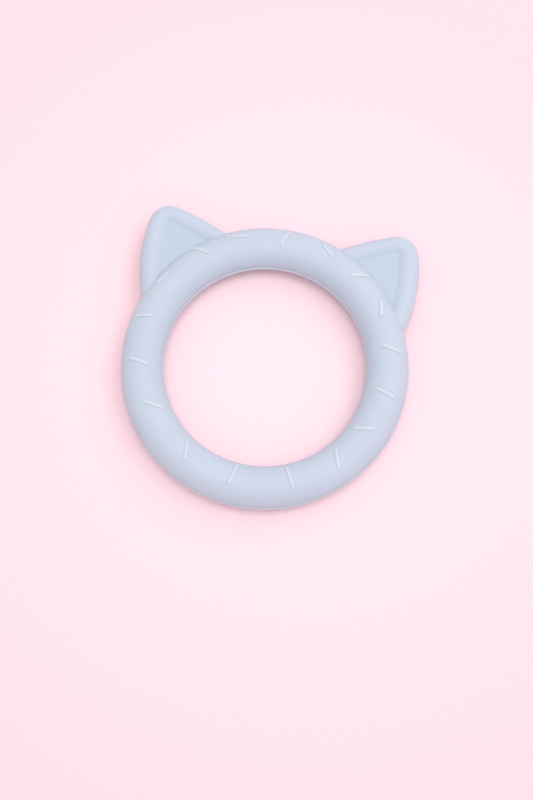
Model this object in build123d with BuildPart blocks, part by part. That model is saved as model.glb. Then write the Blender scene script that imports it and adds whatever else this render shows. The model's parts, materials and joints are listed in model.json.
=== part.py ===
from build123d import *
import os
from math import cos, radians, sin

# Teething ring: a silicone tube bent into a circle, with two cat ears and small raised dashes.
# Origin at the ring's centre, on the parting plane. +Z out of the front face, ears towards +Y.
# Millimetres.

os.makedirs("parts", exist_ok=True)

# Ring
ring_radius = 36.43        # from the ring's axis to the middle of the tube
tube_width = 12.1          # across the tube, in the ring's plane
tube_height = 11.2         # across the tube, along Z
bore_diameter = 5.0        # hollow along the middle of the tube

# Parting line: the halves meet at Z = 0, where ribs on the back half enter the front half
lip_proud = 0.25
lip_height = 0.9
rib_width = 0.8
rib_height = 1.0
rib_gap = 0.05
rib_offset = 4.3           # from the middle of the tube to each rib

# Ears, given for the one on the +X side
ear_thickness = 6.4
ear_edge_radius = 2.8
tip_radius = 6.6
tip_centre = (34.75, 38.6)
top_edge_slope = 17.2      # degrees from X, where the top edge leaves the tip
top_edge_end = (13.4, 36.6)
side_edge_start = 10.8     # degrees round the tip, from X, where the side edge leaves it
side_edge_end = (38.9, 13.6)

# Recess in each face of an ear, which leaves a raised rim and a flat panel
panel_thickness = 5.0
recess_top_start = (18.0, 35.1)
recess_top_middle = (27.5, 39.4)
recess_tip = (35.9, 42.2)
recess_side_middle = (37.2, 31.5)
recess_side_end = (35.4, 18.0)
recess_inside = [(26.0, 20.0), (18.0, 28.0)]
recess_tip_radius = 3.0
recess_draft = 55.0        # degrees

# Root tongues, which hold the ears in slots through the ring's outer wall
tongue_thickness = 3.0
tongue_start = 26.0        # degrees from X towards +Y
tongue_turn = 36.0
tongue_overlap = 1.5       # how far the tongue runs out into the ear
anchor_diameter = 4.6      # bead on the tongue's end, inside the bore

# Dashes, let into pockets in both faces
dash_width = 0.8
dash_proud = 0.3
dash_depth = 0.5
dash_edge_radius = 0.15
# Each dash: degrees round the ring from +Y towards -X, degrees round the tube from its outermost
# line over the face, degrees of lean from straight across the tube, and length over the curve.
dashes = [
    (-1, 72, 19, 5.8),
    (19, 62, -79, 5.8),
    (38, 56, -34, 7.2),
    (58, 57, -85, 5.4),
    (77, 69, -18, 6.9),
    (98, 87, 18, 6.2),
    (120, 106, 38, 6.2),
    (147, 111, -36, 6.7),
    (173, 111, 9, 7.3),
    (200, 107, -6, 7.2),
    (224, 98, 28, 6.6),
    (243, 106, -30, 6.3),
    (263, 93, 15, 6.4),
    (284, 82, 25, 6.3),
    (303, 76, -63, 4.9),
    (321, 69, 41, 6.1),
    (339, 67, -61, 5.2),
]

half_width = tube_width / 2
half_height = tube_height / 2
mean_half = (half_width + half_height) / 2
middle_of_tube = (ring_radius, 0)
middles_of_ribs = [(ring_radius - rib_offset, 0), (ring_radius + rib_offset, 0)]


def parting_lip():
    """Section of the lip, a strip just under the parting plane that stands proud of the tube."""
    with Locations((ring_radius, -lip_height / 2)):
        Rectangle(tube_width + 2 * lip_proud, lip_height)


def tube_solid(grow, lip):
    """The whole tube without its bore, its section grown all round, with or without the lip."""
    with BuildPart() as tube:
        with BuildSketch(Plane.XZ):
            with Locations(middle_of_tube):
                Ellipse(half_width + grow, half_height + grow)
            if lip:
                parting_lip()
        revolve(axis=Axis.Z)
    return tube.part


def tongue_solid():
    """Root tongue of the ear on the +X side, with the bead that anchors it in the bore."""
    start = radians(tongue_start)
    plane = Plane((0, 0, 0), x_dir=(cos(start), sin(start), 0), z_dir=(sin(start), -cos(start), 0))
    with BuildPart() as tongue:
        with BuildSketch(plane):
            with Locations(middle_of_tube):
                Circle(anchor_diameter / 2)
                reach = half_width + tongue_overlap
                Rectangle(reach, tongue_thickness, align=(Align.MIN, Align.CENTER))
        revolve(axis=Axis.Z, revolution_arc=tongue_turn)
    return tongue.part


def dash_solid(around_ring, around_tube, lean, length, face):
    """A rounded bar that follows the tube, half let into it. face is 1 in front and -1 behind."""
    theta, psi, tilt = radians(around_ring), radians(around_tube), radians(lean)
    outward = Vector(-sin(theta), cos(theta), 0)
    onward = Vector(-cos(theta), -sin(theta), 0)
    up = Vector(0, 0, face)
    middle = outward * ring_radius
    surface = middle + outward * (half_width * cos(psi)) + up * (half_height * sin(psi))
    across = (outward * (-half_width * sin(psi)) + up * (half_height * cos(psi))).normalized()
    normal = outward * (cos(psi) / half_width) + up * (sin(psi) / half_height)
    bend = cos(tilt) ** 2 / mean_half
    chord = 2 / bend * sin(length * bend / 2)
    sag = (1 - cos(length * bend / 2)) / bend + dash_depth
    along = across * cos(tilt) + onward * sin(tilt)
    with BuildPart() as dash:
        with BuildSketch(Plane(surface, x_dir=along, z_dir=normal).offset(-sag - dash_depth)):
            SlotOverall(chord, dash_width)
        extrude(amount=sag + dash_depth + 2 * dash_proud)
        add(dash_layer, mode=Mode.INTERSECT)
        crown = dash.faces().sort_by_distance(middle)[-1]
        fillet(crown.edges(), radius=dash_edge_radius)
    return dash.part


ring_envelope = tube_solid(0, lip=True)
dash_layer = tube_solid(dash_proud, lip=False) - tube_solid(-dash_depth, lip=False)
right_tongue = tongue_solid()
left_tongue = right_tongue.mirror(Plane.YZ)
front_dashes = [dash_solid(*dash, face=1) for dash in dashes]
back_dashes = [dash_solid(*dash, face=-1) for dash in dashes]


# Ring halves: hollow mouldings bonded at the parting line
with BuildPart() as ring_front_half:
    with BuildSketch(Plane.XZ):
        with Locations(middle_of_tube):
            Ellipse(half_width, half_height)
            Rectangle(tube_width, tube_height, align=(Align.CENTER, Align.MIN), mode=Mode.INTERSECT)
            Circle(bore_diameter / 2, mode=Mode.SUBTRACT)
        with Locations(middles_of_ribs):
            Rectangle(rib_width + 2 * rib_gap, 2 * (rib_height + rib_gap), mode=Mode.SUBTRACT)
    revolve(axis=Axis.Z)
    add([right_tongue, left_tongue], mode=Mode.SUBTRACT)
    add(front_dashes, mode=Mode.SUBTRACT)
ring_front_half.part.label = "ring_front_half"
export_step(ring_front_half.part, "parts/ring_front_half.step")

with BuildPart() as ring_back_half:
    with BuildSketch(Plane.XZ):
        with Locations(middle_of_tube):
            Ellipse(half_width, half_height)
            Rectangle(tube_width, tube_height, align=(Align.CENTER, Align.MAX), mode=Mode.INTERSECT)
        parting_lip()
        with Locations(middle_of_tube):
            Circle(bore_diameter / 2, mode=Mode.SUBTRACT)
        with Locations(middles_of_ribs):
            Rectangle(rib_width, rib_height, align=(Align.CENTER, Align.MIN))
    revolve(axis=Axis.Z)
    add([right_tongue, left_tongue], mode=Mode.SUBTRACT)
    add(back_dashes, mode=Mode.SUBTRACT)
ring_back_half.part.label = "ring_back_half"
export_step(ring_back_half.part, "parts/ring_back_half.step")


# Ears: a flat panel inside a rounded rim, ended by the ring's own surface
with BuildPart() as ear_right:
    with BuildSketch():
        with BuildLine():
            tip = CenterArc(tip_centre, tip_radius, 90 + top_edge_slope, side_edge_start - 90 - top_edge_slope)
            top = TangentArc(tip @ 0, top_edge_end, tangent=-(tip % 0))
            side = TangentArc(tip @ 1, side_edge_end, tangent=tip % 1)
            Line(side @ 1, top @ 1)
        make_face()
    extrude(amount=ear_thickness / 2, both=True)
    outline = ear_right.edges().filter_by(Plane.XY)
    rounded = outline.filter_by(lambda edge: edge.center().length > ring_radius + half_width)
    fillet(rounded, radius=ear_edge_radius)
    for face in (1, -1):
        with BuildSketch(Plane((0, 0, face * ear_thickness / 2), x_dir=(1, 0, 0), z_dir=(0, 0, face))):
            with BuildLine():
                points = [(x, face * y) for x, y in (recess_top_start, recess_top_middle, recess_tip,
                                                     recess_side_middle, recess_side_end, *recess_inside)]
                ThreePointArc(*points[:3])
                ThreePointArc(*points[2:5])
                Polyline(*points[4:], points[0])
            make_face()
            fillet(vertices().sort_by_distance(points[2])[0], radius=recess_tip_radius)
        depth = (ear_thickness - panel_thickness) / 2
        extrude(amount=-depth, taper=recess_draft, mode=Mode.SUBTRACT)
    add(ring_envelope, mode=Mode.SUBTRACT)
    add(right_tongue)
ear_right.part.label = "ear_right"
export_step(ear_right.part, "parts/ear_right.step")

with BuildPart() as ear_left:
    mirror(ear_right.part, about=Plane.YZ)
ear_left.part.label = "ear_left"
export_step(ear_left.part, "parts/ear_left.step")


# Dashes, numbered from the top of the ring towards the ear on the -X side and on round it
for face_name, row in (("front", front_dashes), ("back", back_dashes)):
    for number, dash in enumerate(row, start=1):
        dash.label = f"dash_{face_name}_{number:02d}"
        export_step(dash, f"parts/{dash.label}.step")
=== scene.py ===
import json
import math

import bmesh
import bpy
import numpy as np
from bpy.props import FloatProperty, FloatVectorProperty, IntProperty, PointerProperty
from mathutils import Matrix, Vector


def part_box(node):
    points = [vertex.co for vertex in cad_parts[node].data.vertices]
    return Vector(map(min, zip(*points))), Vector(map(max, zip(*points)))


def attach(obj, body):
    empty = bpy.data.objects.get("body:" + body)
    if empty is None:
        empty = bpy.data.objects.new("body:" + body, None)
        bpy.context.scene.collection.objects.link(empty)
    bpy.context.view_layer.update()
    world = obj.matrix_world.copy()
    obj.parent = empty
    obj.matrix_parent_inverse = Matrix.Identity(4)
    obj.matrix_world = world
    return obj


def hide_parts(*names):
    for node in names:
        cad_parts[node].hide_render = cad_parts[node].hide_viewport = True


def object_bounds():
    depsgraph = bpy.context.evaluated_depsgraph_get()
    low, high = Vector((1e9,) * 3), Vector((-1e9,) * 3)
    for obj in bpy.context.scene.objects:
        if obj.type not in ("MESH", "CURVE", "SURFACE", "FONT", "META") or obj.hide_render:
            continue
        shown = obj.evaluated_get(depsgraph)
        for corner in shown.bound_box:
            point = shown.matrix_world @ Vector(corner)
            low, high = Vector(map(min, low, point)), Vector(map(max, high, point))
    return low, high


bl_info = {
    "name": "Teething Ring",
    "version": (1, 0, 0),
    "blender": (4, 5, 0),
    "location": "View3D > Sidebar > Teething Ring",
    "description": "Builds a cat-head silicone teething ring round its packed model",
    "category": "Add Mesh",
}

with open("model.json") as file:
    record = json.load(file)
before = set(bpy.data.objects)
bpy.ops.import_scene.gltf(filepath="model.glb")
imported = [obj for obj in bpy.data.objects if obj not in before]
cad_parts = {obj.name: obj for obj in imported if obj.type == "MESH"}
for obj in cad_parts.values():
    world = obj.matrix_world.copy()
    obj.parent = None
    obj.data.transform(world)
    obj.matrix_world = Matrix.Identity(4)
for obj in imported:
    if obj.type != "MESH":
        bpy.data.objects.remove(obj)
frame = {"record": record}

MM = 0.001
BODY = "root"
MERGE = 1e-7                # metres: points nearer than this are one
SHARP = math.radians(40)    # edges that turn by more than this are shaded sharp
NEARLY_HALF = 0.49          # so that two roundings on one short side don't meet
SLOT_STEP = math.radians(0.01)    # half the turn in which a section changes at a slot's end
RIM_RISE = 16               # rows from an ear's outline up to the rim's crest
RIM_FALL = 18               # rows from the crest down to the panel

# The soft discs of the studio light and the round floor, in metres.
DISC_SIZE = 0.7
DISC_DISTANCE = 1.33
FLOOR_RADIUS = 4.0
FLOOR_FIRST_RING = 0.02
FLOOR_RINGS = 24
FLOOR_SIDES = 96

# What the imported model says: the ring's size, its parting lip and opening, and the ears' thickness.
cad_low, cad_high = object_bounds()
front_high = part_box("ring_front_half")[1]
back_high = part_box("ring_back_half")[1]
ear_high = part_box("ear_right")[1]
mounts = {mount["name"]: mount for mount in frame["record"]["mounts"]}
lip_proud = back_high.x - front_high.x
opening_radius = mounts["central_opening"]["dims"]["r_mm"] * MM
tube_half_width = (front_high.x - opening_radius - lip_proud) / 2

# Each dash: degrees round the ring from +Y towards -X, degrees round the tube from its outermost
# line over the face, degrees of lean from straight across the tube, and length in millimetres.
DASHES = [
    (-1, 72, 19, 5.8),
    (19, 62, -79, 5.8),
    (38, 56, -34, 7.2),
    (58, 57, -85, 5.4),
    (77, 69, -18, 6.9),
    (98, 87, 18, 6.2),
    (120, 106, 38, 6.2),
    (147, 111, -36, 6.7),
    (173, 111, 9, 7.3),
    (200, 107, -6, 7.2),
    (224, 98, 28, 6.6),
    (243, 106, -30, 6.3),
    (263, 93, 15, 6.4),
    (284, 82, 25, 6.3),
    (303, 76, -63, 4.9),
    (321, 69, 41, 6.1),
    (339, 67, -61, 5.2),
]


def length(name, description, default):
    """A distance property."""
    return FloatProperty(name=name, description=description, default=default, unit="LENGTH",
                         subtype="DISTANCE", precision=5)


def degrees(name, description, default):
    """An angle property, its default given in degrees."""
    return FloatProperty(name=name, description=description, default=math.radians(default),
                         unit="ROTATION", subtype="ANGLE")


def colour(name, description, default):
    """A colour property."""
    return FloatVectorProperty(name=name, description=description, default=default, size=3,
                               min=0, max=1, subtype="COLOR")


def share(name, description, default):
    """A number from 0 to 1."""
    return FloatProperty(name=name, description=description, default=default, min=0, max=1,
                         subtype="FACTOR")


class TEETHER_PG_ring(bpy.types.PropertyGroup):
    """Sizes of the ring, of its bore and of its parting line."""

    radius: length("Ring radius", "From the ring's axis to the middle of the tube",
                   front_high.x - tube_half_width)
    half_width: length("Tube half width", "Half the tube's width in the ring's plane", tube_half_width)
    half_height: length("Tube half height", "Half the tube's depth along Z", front_high.z)
    bore: length("Bore radius", "Radius of the hollow along the tube", 2.5 * MM)
    lip_proud: length("Lip proud", "How far the parting lip stands out of the tube", lip_proud)
    lip_height: length("Lip height", "Height of the lip, under the parting plane", 0.9 * MM)
    lip_shift: length("Lip shift", "How far the lip sits towards -Y, as mouldings never meet exactly",
                      0.2 * MM)
    lip_round: length("Lip round", "Rounding of the lip's edges and of its root", 0.3 * MM)
    edge_round: length("Edge round", "Rounding of the front half's edges along the parting line", 0.03 * MM)
    rib_offset: length("Rib offset", "From the middle of the tube to each locating rib", 4.3 * MM)
    rib_width: length("Rib width", "Width of a locating rib", 0.8 * MM)
    rib_height: length("Rib height", "Height of a locating rib", 1.0 * MM)
    rib_gap: length("Rib gap", "Clearance round a rib in its groove", 0.05 * MM)
    steps_around: IntProperty(name="Steps around", description="Faces round the ring", default=384)
    steps_over: IntProperty(name="Steps over", description="Faces over one half of the tube", default=64)


class TEETHER_PG_ear(bpy.types.PropertyGroup):
    """Sizes of the ears, given for the one on the +X side."""

    half_thickness: length("Half thickness", "Half the rim's thickness", ear_high.z)
    panel_half: length("Panel half thickness", "Half the thickness of the recessed panel", 2.3 * MM)
    tip_x: length("Tip X", "Centre of the tip's rounding along X", 34.75 * MM)
    tip_y: length("Tip Y", "Centre of the tip's rounding along Y", 38.6 * MM)
    tip_radius: length("Tip radius", "Rounding of the ear's tip", 6.6 * MM)
    top_slope: degrees("Top slope", "Slope from X at which the top edge leaves the tip's rounding", 17.2)
    top_end_x: length("Top end X", "End of the top edge inside the ring, along X", 13.4 * MM)
    top_end_y: length("Top end Y", "End of the top edge inside the ring, along Y", 36.6 * MM)
    side_start: degrees("Side start", "Where the side edge leaves the tip's rounding, from X", 10.8)
    side_end_x: length("Side end X", "End of the side edge inside the ring, along X", 38.9 * MM)
    side_end_y: length("Side end Y", "End of the side edge inside the ring, along Y", 13.6 * MM)
    crest_top: length("Crest at top", "From the top edge in to the rim's crest", 2.7 * MM)
    crest_side: length("Crest at side", "From the side edge in to the rim's crest", 3.3 * MM)
    rim_top: length("Rim at top", "Width of the rim along the top edge", 5.6 * MM)
    rim_side: length("Rim at side", "Width of the rim along the side edge", 6.4 * MM)
    rim_change: length("Rim change", "How far down the side the rim reaches its full width", 7.0 * MM)
    foot: FloatProperty(name="Rim foot", default=1.25, min=1, max=4,
                        description="Hollow at the foot of the rim's inner slope: 1 is none")
    tongue_half: length("Tongue half thickness", "Half the root tongue's thickness", 1.5 * MM)
    tongue_start: degrees("Tongue start", "Where the root tongue starts, from X towards +Y", 26.0)
    tongue_end: degrees("Tongue end", "Where the root tongue ends, from X towards +Y", 62.0)
    anchor: length("Anchor radius", "Radius of the bead on the tongue, inside the bore", 2.3 * MM)


class TEETHER_PG_dash(bpy.types.PropertyGroup):
    """Sizes of the raised dashes."""

    width: length("Width", "Width of a dash", 0.96 * MM)
    proud: length("Proud", "Height of a dash above the tube", 0.3 * MM)
    depth: length("Depth", "Depth of a dash below the tube's surface", 0.5 * MM)
    crown: FloatProperty(name="Crown", default=4.0, min=1.5, max=8,
                         description="Roundness of a dash's crown: 2 is round, more is squarer")


class TEETHER_PG_look(bpy.types.PropertyGroup):
    """Colours and finish of the silicone and of the paper, with painted light: pink bounce on the lip, shade
    in the ears' panels and a light pool on the paper.
    """

    silicone: colour("Silicone", "Colour of the ring and the ears", (0.528, 0.587, 0.692))
    silicone_deep: colour("Silicone, deeper", "Colour in the silicone's faintly deeper clouds",
                          (0.514, 0.573, 0.682))
    # Painted pink bounce light: the lip is tinted pinker than the body, standing in for light from the pink
    # paper, not a colour of its own.
    lip: colour("Lip", "Colour of the thin parting lip, which lets light through", (0.570, 0.550, 0.630))
    # Painted shade: the ears' recessed panels darken with depth below the rim's crest, standing in for the
    # shade in the hollow.
    recess_painted_shade: colour("Recess", "Colour of the ears' recessed panels", (0.482, 0.559, 0.667))
    dash: colour("Dashes", "Colour of the raised dashes", (0.604, 0.642, 0.722))
    lint: colour("Lint", "Colour of the dust and lint that silicone picks up", (0.86, 0.86, 0.88))
    roughness: share("Roughness", "Roughness of the silicone's matt surface", 0.56)
    paper: colour("Paper", "Colour of the sheet that the ring lies on", (0.965, 0.709, 0.757))
    paper_light: colour("Paper, lighter", "Colour of the lighter fibres in the sheet", (0.985, 0.753, 0.801))
    # Painted light falloff: the sheet is multiplied by this colour away from the ring, so it is lighter
    # round the ring and darker outwards, standing in for a pool of light.
    paper_painted_falloff: colour("Paper, far", "Tint of the sheet away from the ring", (0.985, 0.885, 0.895))


class TEETHER_PG_stage(bpy.types.PropertyGroup):
    """The camera and the studio light."""

    camera_x: length("Camera X", "The camera's place", 12.26 * MM)
    camera_y: length("Camera Y", "The camera's place", -78.65 * MM)
    camera_z: length("Camera Z", "The camera's place", 330.9 * MM)
    tilt: degrees("Tilt", "Camera's turn about X, from looking straight down", 11.783)
    bank: degrees("Bank", "Camera's turn about Y", 0.079)
    turn: degrees("Turn", "Camera's turn about Z", 8.18)
    lens: FloatProperty(name="Lens", description="Focal length", default=51.6, subtype="DISTANCE_CAMERA",
                        unit="CAMERA")
    sky: FloatProperty(name="Sky", description="Strength of the even light from all round", default=0.785)
    overhead: FloatProperty(name="Overhead", description="Power of the soft light overhead", default=4.65,
                            subtype="POWER", unit="POWER")
    key: FloatProperty(name="Key", description="Power of the soft light from the upper right", default=1.8,
                       subtype="POWER", unit="POWER")
    side: FloatProperty(name="Side", description="Power of the soft light from the right", default=2.75,
                        subtype="POWER", unit="POWER")


class TEETHER_PG_settings(bpy.types.PropertyGroup):
    """Everything that a user may change."""

    ring: PointerProperty(type=TEETHER_PG_ring)
    ear: PointerProperty(type=TEETHER_PG_ear)
    dash: PointerProperty(type=TEETHER_PG_dash)
    look: PointerProperty(type=TEETHER_PG_look)
    stage: PointerProperty(type=TEETHER_PG_stage)


# ---------------------------------------------------------------- surfaces

def grid_faces(rows, columns, wrap_rows=False, wrap_columns=False, first=0):
    """Corner numbers of a grid's faces. A grid that wraps joins its last row or column to its first."""
    row = np.arange(rows if wrap_rows else rows - 1)[:, None]
    column = np.arange(columns if wrap_columns else columns - 1)[None, :]
    next_row, next_column = (row + 1) % rows, (column + 1) % columns
    corners = (row * columns + column, row * columns + next_column,
               next_row * columns + next_column, next_row * columns + column)
    return first + np.stack(np.broadcast_arrays(*corners), axis=-1).reshape(-1, 4)


def piece_from_grids(name, grids, material, node):
    """A closed piece from grids, each (points, marks, wrap_rows, wrap_columns), sewn where they meet.
    Each grid's marking goes to an attribute, which the materials read to paint light and shade: pink bounce
    light on the ring's lip and shade in the ears' recessed panels."""
    points, painted_light_marks, faces, first = [], [], [], 0
    for grid, painted_light_mark, wrap_rows, wrap_columns in grids:
        rows, columns = grid.shape[:2]
        points.append(grid.reshape(-1, 3))
        painted_light_marks.append(np.broadcast_to(painted_light_mark, (rows, columns)).ravel())
        faces.append(grid_faces(rows, columns, wrap_rows, wrap_columns, first))
        first += rows * columns
    points, faces = np.concatenate(points), np.concatenate(faces)
    mesh = bpy.data.meshes.new(name)
    mesh.vertices.add(len(points))
    mesh.vertices.foreach_set("co", points.astype(np.float32).ravel())
    mesh.loops.add(faces.size)
    mesh.loops.foreach_set("vertex_index", faces.astype(np.int32).ravel())
    mesh.polygons.add(len(faces))
    mesh.polygons.foreach_set("loop_start", np.arange(0, faces.size, 4, dtype=np.int32))
    mesh.update(calc_edges=True)
    mesh.attributes.new("painted_light_mark", "FLOAT", "POINT").data.foreach_set("value", np.concatenate(painted_light_marks))
    sew(mesh)
    mesh.polygons.foreach_set("use_smooth", np.ones(len(mesh.polygons), bool))
    mesh.set_sharp_from_angle(angle=SHARP)
    mesh.materials.append(material)
    piece = bpy.data.objects.new(name, mesh)
    bpy.context.scene.collection.objects.link(piece)
    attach(piece, BODY)
    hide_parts(node)
    return piece


def sew(mesh):
    """Merges points that meet, drops faces that this leaves with no area, and points all faces outwards."""
    work = bmesh.new()
    work.from_mesh(mesh)
    bmesh.ops.remove_doubles(work, verts=work.verts, dist=MERGE)
    bmesh.ops.dissolve_degenerate(work, edges=work.edges, dist=MERGE)
    bmesh.ops.recalc_face_normals(work, faces=work.faces)
    work.to_mesh(mesh)
    work.free()


def rounded(corners, reach, steps=4):
    """A chain of corners with its inner corners rounded: each becomes a parabola that leaves its two
    sides a given reach away, or halfway along a side that is too short."""
    corners = np.asarray(corners, float)
    before, here, after = corners[:-2], corners[1:-1], corners[2:]
    towards = [side - here for side in (before, after)]
    lengths = [np.linalg.norm(side, axis=1, keepdims=True) for side in towards]
    starts, ends = [here + side * np.minimum(reach / size, NEARLY_HALF)
                    for side, size in zip(towards, lengths)]
    t = np.linspace(0, 1, steps + 1)[None, :, None]
    curves = (1 - t) ** 2 * starts[:, None] + 2 * t * (1 - t) * here[:, None] + t ** 2 * ends[:, None]
    return np.concatenate((corners[:1], curves.reshape(-1, 2), corners[-1:]))


def carried_round(profiles, angles):
    """Profiles of (distance from the axis, height) stood at angles from +X round the Z axis."""
    distance, height = profiles[..., 0], profiles[..., 1]
    angles = angles[:, None]
    return np.stack((distance * np.cos(angles), distance * np.sin(angles), height), axis=-1)


def tube_reach(ring, height):
    """Distance from the ring's axis to the tube's outer side at a height: the ellipse of its section."""
    return ring.radius + ring.half_width * np.sqrt(1 - (height / ring.half_height) ** 2)


def on_tube(ring, around, over, lift):
    """Points on the tube. Each is on the ellipse of the section at angle `over` from its outermost
    line, carried to angle `around` from +X, then lifted along the ellipse's outward normal."""
    out = np.stack((np.cos(over) / ring.half_width, np.sin(over) / ring.half_height))
    out = out / np.linalg.norm(out, axis=0)
    reach = ring.radius + ring.half_width * np.cos(over) + lift * out[0]
    height = ring.half_height * np.sin(over) + lift * out[1]
    return np.stack((reach * np.cos(around), reach * np.sin(around), height), axis=-1)


# ---------------------------------------------------------------- ring

def section_arcs(ring, floor, lip_over=0.0):
    """The two arcs of a half's section: the tube's ellipse from its outer side over to its inner side,
    and half the bore's circle back again. The ellipse stops at the lip's top, and both arcs stop at the
    floor on the outer side where there is one."""
    start = math.asin(floor / ring.half_height) if floor else lip_over
    over = np.linspace(start, math.pi - lip_over, ring.steps_over)
    skin = (ring.radius + ring.half_width * np.cos(over), ring.half_height * np.sin(over))
    bore_over = np.linspace(math.pi, math.asin(floor / ring.bore), ring.steps_over // 3)
    bore = (ring.radius + ring.bore * np.cos(bore_over), ring.bore * np.sin(bore_over))
    return np.stack(skin, axis=1), np.stack(bore, axis=1)


def cut_to_floor(wall, bore, skin, floor):
    """A wall cut back level to the floor, from the bore to the skin, with as many corners as before."""
    corners = len(wall) - 2
    across = np.linspace(bore[-1][0], skin[0][0], corners + 1)[1:]
    wall[1:-1] = list(zip(across, np.full(corners, floor)))


def front_section(ring, floor):
    """Closed section of the front half: the ellipse from its outer side over to its inner side, the
    inner wall's parting face with its groove, half the bore's circle, and the outer wall's parting
    face. A floor above zero cuts the outer wall back to that height, as the slots for the ears do."""
    skin, bore = section_arcs(ring, floor)
    half_groove = ring.rib_width / 2 + ring.rib_gap
    groove_top = ring.rib_height + ring.rib_gap
    inner, outer = ring.radius - ring.rib_offset, ring.radius + ring.rib_offset
    inner_wall = [skin[-2], (skin[-1][0], 0), (inner - half_groove, 0), (inner - half_groove, groove_top),
                  (inner + half_groove, groove_top), (inner + half_groove, 0), bore[0]]
    outer_wall = [bore[-1], (outer - half_groove, 0), (outer - half_groove, groove_top),
                  (outer + half_groove, groove_top), (outer + half_groove, 0), (skin[0][0], 0), skin[1]]
    if floor:
        cut_to_floor(outer_wall, bore, skin, floor)
    return np.concatenate((skin[2:-2], rounded(inner_wall, ring.edge_round), bore[1:-1],
                           rounded(outer_wall, ring.edge_round)))


def back_section(ring, floor):
    """Closed section of the back half, drawn as if it faced up: as the front half's, with ribs in
    place of grooves, below the parting plane, and with the parting lip round both of its sides."""
    lip_over = math.asin(ring.lip_height / ring.half_height)
    skin, bore = section_arcs(ring, floor, lip_over)
    half_rib = ring.rib_width / 2
    inner, outer = ring.radius - ring.rib_offset, ring.radius + ring.rib_offset
    lip_in = ring.radius - ring.half_width - ring.lip_proud
    lip_out = ring.radius + ring.half_width + ring.lip_proud
    inner_wall = [skin[-2], skin[-1], (lip_in, ring.lip_height), (lip_in, 0), (inner - half_rib, 0),
                  (inner - half_rib, -ring.rib_height), (inner + half_rib, -ring.rib_height),
                  (inner + half_rib, 0), bore[0]]
    outer_wall = [bore[-1], (outer - half_rib, 0), (outer - half_rib, -ring.rib_height),
                  (outer + half_rib, -ring.rib_height), (outer + half_rib, 0), (lip_out, 0),
                  (lip_out, ring.lip_height), skin[0], skin[1]]
    if floor:
        cut_to_floor(outer_wall, bore, skin, floor)
    return np.concatenate((skin[2:-2], rounded(inner_wall, ring.lip_round), bore[1:-1],
                           rounded(outer_wall, ring.lip_round)))


def ring_half(section, ring, ear, facing):
    """A ring half as one grid: its section carried all the way round, with the deeper-floored section
    between the ends of the two ear slots. Even angles too near a slot's end are left out. Points that
    stand proud of the tube move with the lip, and a mask of them paints the lip's pink bounce light."""
    slots = [(ear.tongue_start, ear.tongue_end), (math.pi - ear.tongue_end, math.pi - ear.tongue_start)]
    ends = np.array([(start - SLOT_STEP, start + SLOT_STEP, end - SLOT_STEP, end + SLOT_STEP)
                     for start, end in slots]).ravel()
    even = np.linspace(0, 2 * math.pi, ring.steps_around, endpoint=False)
    even = even[np.abs(even[:, None] - ends[None, :]).min(axis=1) > 4 * SLOT_STEP]
    angles = np.sort(np.concatenate((even, ends)))
    in_slot = np.any([(angles > start) & (angles < end) for start, end in slots], axis=0)
    profiles = np.where(in_slot[:, None, None], section(ring, ear.tongue_half), section(ring, 0.0))
    points = carried_round(profiles, angles)
    from_middle = np.abs(profiles[..., 0] - ring.radius)
    level = np.clip(1 - (profiles[..., 1] / ring.half_height) ** 2, 0, 1)
    proud = from_middle - ring.half_width * np.sqrt(level)
    lip_mask_and_pink_bounce = np.clip(proud / ring.lip_proud, 0, 1)
    points[..., 1] -= ring.lip_shift * lip_mask_and_pink_bounce
    return points * (1, 1, facing), lip_mask_and_pink_bounce


# ---------------------------------------------------------------- ears

def ear_outline(ear, samples=1200):
    """Plan outline of the ear on the +X side, from inside the ring along the top edge's arc, round the
    tip's arc and down the side edge's arc, evenly spaced, with its inward normals and a number that
    turns from 0 along the top edge to 1 along the side edge."""
    centre = np.array((ear.tip_x, ear.tip_y))
    leave = math.pi / 2 + ear.top_slope
    turn = np.linspace(leave, ear.side_start, samples)
    tip = centre + ear.tip_radius * np.stack((np.cos(turn), np.sin(turn)), axis=1)
    top = arc_leaving(tip[0], ear.top_slope + math.pi, (ear.top_end_x, ear.top_end_y), samples)
    side = arc_leaving(tip[-1], ear.side_start - math.pi / 2, (ear.side_end_x, ear.side_end_y), samples)
    chain = np.concatenate((top[:0:-1], tip, side[1:]))
    travel = np.concatenate(([0], np.cumsum(np.linalg.norm(np.diff(chain, axis=0), axis=1))))
    even = np.linspace(0, travel[-1], samples)
    outline = np.stack([np.interp(even, travel, chain[:, axis]) for axis in (0, 1)], axis=1)
    forward = np.gradient(outline, axis=0)
    inward = np.stack((forward[:, 1], -forward[:, 0]), axis=1)
    inward /= np.linalg.norm(inward, axis=1, keepdims=True)
    round_tip = np.interp(even, (travel[samples - 1], travel[2 * samples - 2] + ear.rim_change), (0, 1))
    return outline, inward, ease(round_tip)


def arc_leaving(start, heading, end, samples):
    """The circle's arc that leaves a point at a heading and reaches another: it turns all the way by
    twice the angle between its heading and its chord, and has the radius which that asks for."""
    start, end = np.asarray(start), np.asarray(end)
    chord = end - start
    half_turn = (math.atan2(chord[1], chord[0]) - heading + math.pi) % (2 * math.pi) - math.pi
    radius = np.linalg.norm(chord) / (2 * math.sin(half_turn))
    turned = np.linspace(0, 2 * half_turn, samples)
    ahead = np.array((math.cos(heading), math.sin(heading)))
    left = np.array((-math.sin(heading), math.cos(heading)))
    return start + radius * (np.sin(turned)[:, None] * ahead + (1 - np.cos(turned))[:, None] * left)


def ease(t):
    """0 to 1 with level ends: three t squared less two t cubed."""
    return t * t * (3 - 2 * t)


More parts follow.
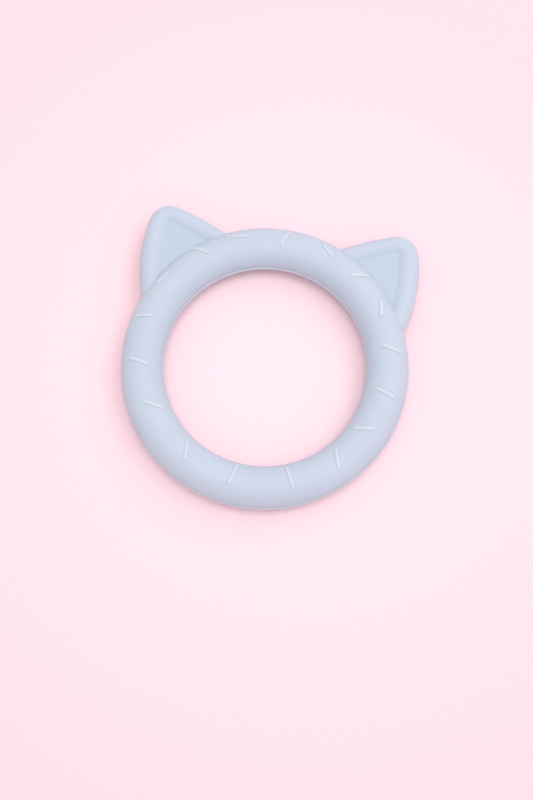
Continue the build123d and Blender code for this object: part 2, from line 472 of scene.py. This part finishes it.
def rim_rows(ear, round_tip):
    """Distance in from the outline and height, row by row over the rim: a quarter of an ellipse up to
    the crest, then a slope down to the panel that steepens, with a short hollow at its foot. Both are
    as wide as that part of the rim is."""
    crest = ear.crest_top + (ear.crest_side - ear.crest_top) * round_tip
    width = ear.rim_top + (ear.rim_side - ear.rim_top) * round_tip
    rise = np.linspace(0, math.pi / 2, RIM_RISE)[:, None]
    fall = np.linspace(0, 1, RIM_FALL + 1)[1:, None]
    inset = np.concatenate((crest * (1 - np.cos(rise)), crest + (width - crest) * fall))
    drop = ear.half_thickness - ear.panel_half
    height = np.concatenate((ear.half_thickness * np.sin(rise),
                             ear.panel_half + drop * (1 - fall ** 2) ** ear.foot))
    return inset, np.broadcast_to(height, inset.shape)


def ear_face(ring, ear, columns=150, floor_rows=26):
    """Front skin of an ear as one grid. Rows run from the outline over the rim to the panel, then
    across the panel to the ring. Each rim row is the outline moved inwards, cut where it meets the
    ring; each panel row is a blend of the rim's inner edge and the ring's own circle."""
    outline, inward, round_tip = ear_outline(ear)
    inset, height = rim_rows(ear, round_tip)
    rows = outline[None] + inward[None] * inset[..., None]
    ring_edge = tube_reach(ring, height[:, :1])
    clear = np.linalg.norm(rows, axis=-1) - ring_edge
    row = np.arange(len(rows))
    first = np.argmax(clear > 0, axis=1)
    last = clear.shape[1] - 1 - np.argmax(clear[:, ::-1] > 0, axis=1)
    start = first - clear[row, first] / (clear[row, first] - clear[row, first - 1])
    end = last + clear[row, last] / (clear[row, last] - clear[row, last + 1])
    where = start[:, None] + (end - start)[:, None] * np.linspace(0, 1, columns)
    low = np.clip(np.floor(where).astype(int), 0, rows.shape[1] - 2)
    part = (where - low)[..., None]
    rim = rows[row[:, None], low] * (1 - part) + rows[row[:, None], low + 1] * part
    rim = np.concatenate((rim, np.broadcast_to(height[:, :1, None], (*rim.shape[:2], 1))), axis=-1)
    edge = rim[-1]
    from_x = np.arctan2(edge[[0, -1], 1], edge[[0, -1], 0])
    around = np.linspace(*from_x, columns)
    reach = np.linalg.norm(edge[0, :2])
    height = np.full(columns, ear.panel_half)
    root = np.stack((reach * np.cos(around), reach * np.sin(around), height), axis=1)
    blend = np.linspace(0, 1, floor_rows + 1)[1:, None, None]
    panel = edge[None] * (1 - blend) + root[None] * blend
    return rim, panel


def ear_root(ring, ear, rim, panel, bead_rows=14):
    """Hidden end of an ear as one grid of closed loops: from the outline of the ear's skin on the ring,
    over the ring's surface to the tongue, along the tongue and round the bead that anchors it."""
    front = np.concatenate((rim[:, 0], panel[-1, 1:-1], rim[::-1, -1]))
    count, side = len(front), len(rim)
    rise = np.linspace(0, 1, side)
    level = np.concatenate((rise, np.ones(count - 2 * side), rise[::-1]))
    around = np.concatenate((np.full(side, ear.tongue_end),
                             np.linspace(ear.tongue_end, ear.tongue_start, count - 2 * side),
                             np.full(side, ear.tongue_start)))
    half, anchor = ear.tongue_half, ear.anchor
    meet = math.asin(half / anchor)
    reaches = [tube_reach(ring, level * half)]
    heights = [level * half]
    for turn in np.linspace(meet, math.pi, bead_rows):
        reaches.append(np.full(count, ring.radius + anchor * math.cos(turn)))
        heights.append(level * anchor * math.sin(turn))
    reach, height = np.array(reaches), np.array(heights)
    loops = np.stack((reach * np.cos(around), reach * np.sin(around), height), axis=-1)
    loops = np.concatenate((front[None], loops))
    back = loops[:, -2:0:-1] * (1, 1, -1)
    return np.concatenate((loops, back), axis=1)


def ear_grids(ring, ear, mirror):
    """An ear's grids: the front skin, the back skin and the root. mirror is 1 for +X and -1 for -X.
    The skins carry their depth below the rim's crest, which paints the shade in the recessed panels."""
    rim, panel = ear_face(ring, ear)
    skin = np.concatenate((rim, panel))
    # Painted shade: the deeper below the crest, the more of the darker panel colour, standing in for shade
    # in the hollow.
    past_crest = np.arange(len(skin)) >= len(rim) - RIM_FALL
    shade_by_depth = (ear.half_thickness - skin[:, :, 2]) / (ear.half_thickness - ear.panel_half)
    painted_recess_shade = np.where(past_crest[:, None], shade_by_depth, 0)
    skin = skin * (mirror, 1, 1)
    root = ear_root(ring, ear, rim, panel) * (mirror, 1, 1)
    return [(skin, painted_recess_shade, False, False), (skin * (1, 1, -1), painted_recess_shade, False, False), (root, 0.0, False, True)]


# ---------------------------------------------------------------- dashes

def dash_grid(ring, dash, around_ring, around_tube, lean, span, face,
              cap_steps=10, side_steps=16, crown_rows=9):
    """A dash as one grid. Its columns run round a slot, a straight bar with half-round ends; its rows
    run from the slot's middle line over a rounded crown to its edge, down its side and back under it.
    The slot is laid on the tube by arc length, along and across its lean, and lifted by its height."""
    theta, psi = math.radians(90 + around_ring), math.radians(around_tube)
    tilt, radius = math.radians(lean), dash.width / 2
    straight = span * MM / 2 - radius
    caps = np.linspace(-math.pi / 2, math.pi / 2, cap_steps)
    sides = np.linspace(1, -1, side_steps)[1:-1]
    turn = np.concatenate((caps, np.full(len(sides), math.pi / 2), caps + math.pi,
                           np.full(len(sides), -math.pi / 2)))
    middle = straight * np.concatenate((np.ones(cap_steps), sides, -np.ones(cap_steps), -sides))
    rise = np.linspace(0, math.pi / 2, crown_rows)
    crown_out = np.sin(rise) ** (2 / dash.crown)
    crown_up = dash.proud * np.cos(rise) ** (2 / dash.crown)
    out = np.concatenate((crown_out, (1, 1, 0)))[:, None] * radius
    lift = np.concatenate((crown_up, (-dash.depth / 2, -dash.depth, -dash.depth)))[:, None]
    along = middle + out * np.cos(turn)
    beside = out * np.sin(turn)
    across = along * math.cos(tilt) - beside * math.sin(tilt)
    onward = along * math.sin(tilt) + beside * math.cos(tilt)
    pace = math.hypot(ring.half_width * math.sin(psi), ring.half_height * math.cos(psi))
    over = psi + across / pace
    around = theta + onward / (ring.radius + ring.half_width * np.cos(over))
    points = on_tube(ring, around, over, np.broadcast_to(lift, over.shape))
    return points * (1, 1, face)


# ---------------------------------------------------------------- node groups

def new_group(name, inputs, outputs):
    """An empty shader node group with named sockets: inputs are (name, type, default)."""
    group = bpy.data.node_groups.new(name, "ShaderNodeTree")
    for label, kind, default in inputs:
        socket = group.interface.new_socket(name=label, in_out="INPUT", socket_type=kind)
        if default is not None:
            socket.default_value = default
    for label, kind in outputs:
        group.interface.new_socket(name=label, in_out="OUTPUT", socket_type=kind)
    return group, group.nodes.new("NodeGroupInput"), group.nodes.new("NodeGroupOutput")


def add_node(tree, kind, **settings):
    """A node with its properties set."""
    node = tree.nodes.new(kind)
    for name, value in settings.items():
        setattr(node, name, value)
    return node


def cloudy_tone():
    """Slow, faint clouds: two sizes of noise, eased into a mask from 0 to 1."""
    group, given, result = new_group(
        "Cloudy Tone",
        [("Vector", "NodeSocketVector", None), ("Scale", "NodeSocketFloat", 60.0)],
        [("Mask", "NodeSocketFloat")])
    noise = add_node(group, "ShaderNodeTexNoise", noise_dimensions="3D")
    noise.inputs["Detail"].default_value = 3.0
    noise.inputs["Roughness"].default_value = 0.5
    spread = add_node(group, "ShaderNodeMapRange", interpolation_type="SMOOTHSTEP")
    spread.inputs["From Min"].default_value = 0.3
    spread.inputs["From Max"].default_value = 0.7
    link = group.links.new
    link(given.outputs["Vector"], noise.inputs["Vector"])
    link(given.outputs["Scale"], noise.inputs["Scale"])
    link(noise.outputs["Fac"], spread.inputs["Value"])
    link(spread.outputs["Result"], result.inputs["Mask"])
    return group


def matt_grain():
    """Fine even grain, as a moulded or pressed matt surface has: a height from 0 to 1."""
    group, given, result = new_group(
        "Matt Grain",
        [("Vector", "NodeSocketVector", None), ("Scale", "NodeSocketFloat", 5000.0)],
        [("Height", "NodeSocketFloat")])
    noise = add_node(group, "ShaderNodeTexNoise", noise_dimensions="3D")
    noise.inputs["Detail"].default_value = 2.0
    noise.inputs["Roughness"].default_value = 0.6
    link = group.links.new
    link(given.outputs["Vector"], noise.inputs["Vector"])
    link(given.outputs["Scale"], noise.inputs["Scale"])
    link(noise.outputs["Fac"], result.inputs["Height"])
    return group


def lint_specks():
    """A few small specks: cells of a Voronoi pattern, each with a dot whose size is the cell's random
    number, so that most cells have none."""
    group, given, result = new_group(
        "Lint Specks",
        [("Vector", "NodeSocketVector", None), ("Scale", "NodeSocketFloat", 400.0),
         ("Amount", "NodeSocketFloat", 0.1), ("Size", "NodeSocketFloat", 0.06)],
        [("Mask", "NodeSocketFloat")])
    cells = add_node(group, "ShaderNodeTexVoronoi", feature="F1")
    apart = add_node(group, "ShaderNodeSeparateColor")
    chosen = add_node(group, "ShaderNodeMath", operation="LESS_THAN")
    size = add_node(group, "ShaderNodeMath", operation="MULTIPLY")
    inside = add_node(group, "ShaderNodeMath", operation="LESS_THAN")
    both = add_node(group, "ShaderNodeMath", operation="MULTIPLY")
    link = group.links.new
    link(given.outputs["Vector"], cells.inputs["Vector"])
    link(given.outputs["Scale"], cells.inputs["Scale"])
    link(cells.outputs["Color"], apart.inputs["Color"])
    link(apart.outputs["Red"], chosen.inputs[0])
    link(given.outputs["Amount"], chosen.inputs[1])
    link(apart.outputs["Green"], size.inputs[0])
    link(given.outputs["Size"], size.inputs[1])
    link(cells.outputs["Distance"], inside.inputs[0])
    link(size.outputs["Value"], inside.inputs[1])
    link(chosen.outputs["Value"], both.inputs[0])
    link(inside.outputs["Value"], both.inputs[1])
    link(both.outputs["Value"], result.inputs["Mask"])
    return group


def group_node(tree, name, build, **values):
    """A node of a shared group, which is built the first time it is asked for."""
    group = bpy.data.node_groups.get(name) or build()
    node = add_node(tree, "ShaderNodeGroup", node_tree=group)
    for label, value in values.items():
        node.inputs[label].default_value = value
    return node


def mixed_colour(tree, mask, first, second):
    """A node that mixes two colours, or two nodes' colours, by a mask."""
    mix = add_node(tree, "ShaderNodeMix", data_type="RGBA")
    tree.links.new(mask, mix.inputs["Factor"])
    for socket, value in ((mix.inputs["A"], first), (mix.inputs["B"], second)):
        if isinstance(value, bpy.types.NodeSocket):
            tree.links.new(value, socket)
        else:
            socket.default_value = (*value, 1)
    return mix.outputs["Result"]


def empty_material(name):
    """A material with a Principled surface and Object coordinates, and nothing else."""
    material = bpy.data.materials.new(name)
    material.use_nodes = True
    tree = material.node_tree
    tree.nodes.clear()
    shader = add_node(tree, "ShaderNodeBsdfPrincipled")
    output = add_node(tree, "ShaderNodeOutputMaterial")
    tree.links.new(shader.outputs["BSDF"], output.inputs["Surface"])
    coordinates = add_node(tree, "ShaderNodeTexCoord").outputs["Object"]
    return material, tree, shader, coordinates


def bump(tree, shader, height, distance):
    """Feeds a height into the shader's normal, at full strength."""
    node = add_node(tree, "ShaderNodeBump")
    node.inputs["Strength"].default_value = 1.0
    node.inputs["Distance"].default_value = distance
    tree.links.new(height, node.inputs["Height"])
    tree.links.new(node.outputs["Normal"], shader.inputs["Normal"])


def silicone(name, look, tone, deeper, painted_light_tone):
    """Soft matt silicone: faint clouds of a deeper tone, painted light where the piece's attribute asks for
    it (pink bounce light on the ring's lip, shade in the ears' recessed panels), fine moulded grain and a
    little lint."""
    material, tree, shader, coordinates = empty_material(name)
    clouds = group_node(tree, "Cloudy Tone", cloudy_tone, Scale=70.0)
    grain = group_node(tree, "Matt Grain", matt_grain, Scale=4500.0)
    lint = group_node(tree, "Lint Specks", lint_specks, Scale=420.0, Amount=0.06, Size=0.07)
    for node in (clouds, grain, lint):
        tree.links.new(coordinates, node.inputs["Vector"])
    body = mixed_colour(tree, clouds.outputs["Mask"], tone, deeper)
    # Painted light: the attribute blends in pink bounce light on the lip and shade in the ears' recessed
    # panels.
    painted_light_mark = add_node(tree, "ShaderNodeAttribute", attribute_name="painted_light_mark")
    body = mixed_colour(tree, painted_light_mark.outputs["Fac"], body, painted_light_tone)
    dusted = mixed_colour(tree, lint.outputs["Mask"], body, look.lint)
    tree.links.new(dusted, shader.inputs["Base Color"])
    rough = add_node(tree, "ShaderNodeMapRange")
    uneven = 0.05
    rough.inputs["To Min"].default_value = look.roughness - uneven
    rough.inputs["To Max"].default_value = look.roughness + uneven
    tree.links.new(grain.outputs["Height"], rough.inputs["Value"])
    tree.links.new(rough.outputs["Result"], shader.inputs["Roughness"])
    bump(tree, shader, grain.outputs["Height"], 0.012 * MM)
    shader.inputs["IOR"].default_value = 1.41
    shader.inputs["Subsurface Weight"].default_value = 0.15
    shader.inputs["Subsurface Radius"].default_value = (0.8, 0.9, 1.0)
    shader.inputs["Subsurface Scale"].default_value = 1.2 * MM
    return material


def paper(look):
    """Uncoated coloured sheet: short pale fibres, a fine tooth, and painted light: lighter round the ring
    and darker outwards.
    """
    material, tree, shader, coordinates = empty_material("paper")
    fibres = group_node(tree, "Cloudy Tone", cloudy_tone, Scale=1700.0)
    tooth = group_node(tree, "Matt Grain", matt_grain, Scale=1600.0)
    for node in (fibres, tooth):
        tree.links.new(coordinates, node.inputs["Vector"])
    tinted = mixed_colour(tree, fibres.outputs["Mask"], look.paper, look.paper_light)
    # Painted light falloff: a pool of light round the ring, the sheet darkening outwards.
    distance = add_node(tree, "ShaderNodeVectorMath", operation="LENGTH")
    far = add_node(tree, "ShaderNodeMapRange")
    far.inputs["From Min"].default_value = 0.02
    far.inputs["From Max"].default_value = 0.13
    tree.links.new(coordinates, distance.inputs[0])
    tree.links.new(distance.outputs["Value"], far.inputs["Value"])
    painted_light_falloff = mixed_colour(tree, far.outputs["Result"], (1, 1, 1), look.paper_painted_falloff)
    spread = add_node(tree, "ShaderNodeMix", data_type="RGBA", blend_type="MULTIPLY")
    spread.inputs["Factor"].default_value = 1
    tree.links.new(tinted, spread.inputs["A"])
    tree.links.new(painted_light_falloff, spread.inputs["B"])
    tree.links.new(spread.outputs["Result"], shader.inputs["Base Color"])
    bump(tree, shader, tooth.outputs["Height"], 0.03 * MM)
    shader.inputs["Roughness"].default_value = 0.9
    shader.inputs["Specular IOR Level"].default_value = 0.2
    return material


# ---------------------------------------------------------------- operators

class TEETHER_OT_stage(bpy.types.Operator):
    """Make the camera, the paper floor and the soft studio light"""

    bl_idname = "teether.stage"
    bl_label = "Stage"

    def execute(self, context):
        """Camera first, then the light, then the floor at the object's lowest point."""
        settings = context.scene.teether
        stage = settings.stage
        camera = bpy.data.objects.new("camera", bpy.data.cameras.new("camera"))
        camera.location = (stage.camera_x, stage.camera_y, stage.camera_z)
        camera.rotation_euler = (stage.tilt, stage.bank, stage.turn)
        camera.data.lens = stage.lens
        camera.data.sensor_width = 36
        camera.data.clip_start = 0.01
        context.scene.collection.objects.link(camera)
        context.scene.camera = camera
        context.scene.view_settings.view_transform = "Standard"
        self.light(context.scene, stage)
        self.floor(context.scene, settings.look)
        return {"FINISHED"}

    def light(self, scene, stage):
        """An even pale sky, and three large soft discs that all face the object."""
        world = bpy.data.worlds.new("sky")
        world.use_nodes = True
        background = world.node_tree.nodes["Background"]
        background.inputs["Color"].default_value = (1.0, 0.985, 0.99, 1)
        background.inputs["Strength"].default_value = stage.sky
        scene.world = world
        # Each disc: name, power, degrees round from +X and degrees above the floor.
        discs = (("overhead", stage.overhead, 0, 90),
                 ("key", stage.key, 55, 42),
                 ("side", stage.side, 16, 60))
        for name, power, around, above in discs:
            around, above = math.radians(around), math.radians(above)
            data = bpy.data.lights.new(name, "AREA")
            data.shape = "DISK"
            data.size = DISC_SIZE
            data.energy = power
            light = bpy.data.objects.new(name, data)
            level = math.cos(above)
            towards = Vector((level * math.cos(around), level * math.sin(around), math.sin(above)))
            light.location = DISC_DISTANCE * towards
            light.rotation_euler = (-towards).to_track_quat("-Z", "Y").to_euler()
            scene.collection.objects.link(light)

    def floor(self, scene, look):
        """A wide flat disc: a fan of rings, ever wider, round the object's middle."""
        reach = np.geomspace(FLOOR_FIRST_RING, FLOOR_RADIUS, FLOOR_RINGS)[:, None]
        turn = np.linspace(0, 2 * math.pi, FLOOR_SIDES, endpoint=False)[None, :]
        rings = np.stack((reach * np.cos(turn), reach * np.sin(turn), 0 * reach * turn), axis=-1)
        rings = np.concatenate((np.zeros((1, FLOOR_SIDES, 3)), rings)) + (0, 0, cad_low.z)
        mesh = bpy.data.meshes.new("floor")
        faces = grid_faces(FLOOR_RINGS + 1, FLOOR_SIDES, wrap_columns=True)
        mesh.from_pydata(rings.reshape(-1, 3).tolist(), [], faces.tolist())
        sew(mesh)
        if mesh.polygons[0].normal.z < 0:
            mesh.flip_normals()
        mesh.materials.append(paper(look))
        floor = bpy.data.objects.new("floor", mesh)
        scene.collection.objects.link(floor)


class TEETHER_OT_ring(bpy.types.Operator):
    """Make the two halves of the ring, which meet at the parting line"""

    bl_idname = "teether.ring"
    bl_label = "Ring Halves"

    def execute(self, context):
        """The front half, and the back half with its lip."""
        settings = context.scene.teether
        ring, ear, look = settings.ring, settings.ear, settings.look
        # The lip's colour is painted pink bounce light from the paper.
        material = silicone("matt_ring", look, look.silicone, look.silicone_deep, look.lip)
        for node, section, facing in (("ring_front_half", front_section, 1),
                                      ("ring_back_half", back_section, -1)):
            grid, lip_mask_and_pink_bounce = ring_half(section, ring, ear, facing)
            grids = [(grid, lip_mask_and_pink_bounce, True, True)]
            piece_from_grids(f"{node}_moulding", grids, material, node)
        return {"FINISHED"}


class TEETHER_OT_ears(bpy.types.Operator):
    """Make the two ears, each with its rim, its recessed panels and its root"""

    bl_idname = "teether.ears"
    bl_label = "Ears"

    def execute(self, context):
        """The ear on the +X side and its mirror image."""
        settings = context.scene.teether
        ring, ear, look = settings.ring, settings.ear, settings.look
        # The panels' colour is painted shade, deepest on the panel floor.
        material = silicone("matt_ear", look, look.silicone, look.silicone_deep, look.recess_painted_shade)
        for node, mirror in (("ear_right", 1), ("ear_left", -1)):
            grids = ear_grids(ring, ear, mirror)
            piece_from_grids(f"{node}_moulding", grids, material, node)
        return {"FINISHED"}


class TEETHER_OT_dashes(bpy.types.Operator):
    """Make the raised dashes of both faces"""

    bl_idname = "teether.dashes"
    bl_label = "Dashes"

    def execute(self, context):
        """One piece for each dash; the back face repeats the front."""
        settings = context.scene.teether
        ring, dash, look = settings.ring, settings.dash, settings.look
        material = silicone("matt_dash", look, look.dash, look.dash, look.dash)
        for face_name, face in (("front", 1), ("back", -1)):
            for number, (around_ring, around_tube, lean, span) in enumerate(DASHES, start=1):
                node = f"dash_{face_name}_{number:02d}"
                grid = dash_grid(ring, dash, around_ring, around_tube, lean, span, face)
                piece_from_grids(f"{node}_bar", [(grid, 0.0, False, True)], material, node)
        return {"FINISHED"}


class TEETHER_PT_panel(bpy.types.Panel):
    """Lists the operators and the sizes they use"""

    bl_idname = "TEETHER_PT_panel"
    bl_label = "Teething Ring"
    bl_space_type = "VIEW_3D"
    bl_region_type = "UI"
    bl_category = "Teething Ring"

    def draw(self, context):
        """One button for each operator, then each group's properties."""
        settings = context.scene.teether
        for operator in OPERATORS:
            self.layout.operator(operator.bl_idname)
        for name in ("ring", "ear", "dash", "look", "stage"):
            box = self.layout.box()
            box.label(text=name.capitalize())
            group = getattr(settings, name)
            for key in group.__annotations__:
                box.prop(group, key)


GROUPS = (TEETHER_PG_ring, TEETHER_PG_ear, TEETHER_PG_dash, TEETHER_PG_look, TEETHER_PG_stage,
          TEETHER_PG_settings)
OPERATORS = (TEETHER_OT_stage, TEETHER_OT_ring, TEETHER_OT_ears, TEETHER_OT_dashes)


def register():
    """Registers the classes and hangs the settings on the scene."""
    for item in (*GROUPS, *OPERATORS, TEETHER_PT_panel):
        bpy.utils.register_class(item)
    bpy.types.Scene.teether = PointerProperty(type=TEETHER_PG_settings)


def unregister():
    """Takes back what register() did."""
    del bpy.types.Scene.teether
    for item in reversed((*GROUPS, *OPERATORS, TEETHER_PT_panel)):
        bpy.utils.unregister_class(item)


def main():
    """Makes the stage and the pieces."""
    register()
    bpy.ops.teether.stage()
    bpy.ops.teether.ring()
    bpy.ops.teether.ears()
    bpy.ops.teether.dashes()


if __name__ == "__main__":
    main()
